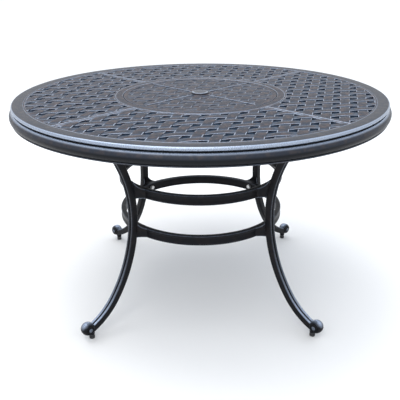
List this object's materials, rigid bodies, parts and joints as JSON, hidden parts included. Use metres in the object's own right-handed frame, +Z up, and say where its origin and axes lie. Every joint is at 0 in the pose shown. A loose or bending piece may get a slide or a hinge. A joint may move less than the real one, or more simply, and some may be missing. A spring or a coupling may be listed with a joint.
{
  "type": "round dining table",
  "caption": "Round patio dining table with a woven-look cast top, an inlaid turntable with an umbrella plug, and curved legs tied by two hoops.",
  "frame": {"origin": "on the floor at the centre of the table, midway between the four feet", "axes": "+Z up through the umbrella hole, -Y towards the front, between the two front legs"},
  "size_m": [1.219, 1.2192, 0.7167],
  "materials": {
    "dark_cast_aluminium": "satin",
    "plated_steel": "satin",
    "bare_aluminium": "satin",
    "brass": "satin",
    "cage_nylon": "matte",
    "black_nylon": "matte"
  },
  "bodies": {
    "table": {"rim_hoop": "dark_cast_aluminium", "centre_ring": "dark_cast_aluminium", "bearing_carrier": "dark_cast_aluminium", "upper_hoop": "dark_cast_aluminium", "lower_hoop": "dark_cast_aluminium", "top_panel_front": "dark_cast_aluminium", "top_panel_right": "dark_cast_aluminium", "top_panel_back": "dark_cast_aluminium", "top_panel_left": "dark_cast_aluminium", "cross_bar_front_left": "dark_cast_aluminium", "leg_front_left": "dark_cast_aluminium", "cross_bar_front_right": "dark_cast_aluminium", "leg_front_right": "dark_cast_aluminium", "cross_bar_back_right": "dark_cast_aluminium", "leg_back_right": "dark_cast_aluminium", "cross_bar_back_left": "dark_cast_aluminium", "leg_back_left": "dark_cast_aluminium", "bearing_inner_race": "bare_aluminium", "bearing_base_screws": "plated_steel", "carrier_screws": "plated_steel", "upper_hoop_bolts": "plated_steel", "lower_hoop_bolts": "plated_steel", "upper_hoop_washers": "plated_steel", "lower_hoop_washers": "plated_steel", "leg_bolts": "plated_steel", "leg_bolt_washers": "plated_steel", "foot_bushes": "brass"},
    "turntable": {"turntable_disc": "dark_cast_aluminium", "bearing_outer_race": "bare_aluminium", "bearing_disc_screws": "plated_steel"},
    "ball_cage": {"bearing_cage": "cage_nylon", "bearing_balls": "plated_steel"},
    "plug": {"umbrella_plug": "dark_cast_aluminium"},
    "leveller_front_left": {"leveller_stem_front_left": "plated_steel", "glide_pad_front_left": "black_nylon"},
    "leveller_front_right": {"leveller_stem_front_right": "plated_steel", "glide_pad_front_right": "black_nylon"},
    "leveller_back_right": {"leveller_stem_back_right": "plated_steel", "glide_pad_back_right": "black_nylon"},
    "leveller_back_left": {"leveller_stem_back_left": "plated_steel", "glide_pad_back_left": "black_nylon"}
  },
  "joints": [
    {"name": "turntable_spin", "type": "hinge", "parent": "table", "child": "turntable", "pos_m": [0, 0, 0.687], "axis": [0, 0, 1], "continuous": true},
    {"name": "cage_spin", "type": "hinge", "parent": "table", "child": "ball_cage", "pos_m": [0, 0, 0.687], "axis": [0, 0, 1], "continuous": true},
    {"name": "plug_lift", "type": "slide", "parent": "turntable", "child": "plug", "axis": [0, 0, 1], "range_m": [0, 0.15]},
    {"name": "leveller_front_left_screw", "type": "slide", "parent": "table", "child": "leveller_front_left", "axis": [0, 0, -1], "range_m": [0, 0.01]},
    {"name": "leveller_front_right_screw", "type": "slide", "parent": "table", "child": "leveller_front_right", "axis": [0, 0, -1], "range_m": [0, 0.01]},
    {"name": "leveller_back_right_screw", "type": "slide", "parent": "table", "child": "leveller_back_right", "axis": [0, 0, -1], "range_m": [0, 0.01]},
    {"name": "leveller_back_left_screw", "type": "slide", "parent": "table", "child": "leveller_back_left", "axis": [0, 0, -1], "range_m": [0, 0.01]}
  ],
  "couplings": [
    {"joint": "cage_spin", "follows": "turntable_spin", "ratio": 0.5}
  ]
}
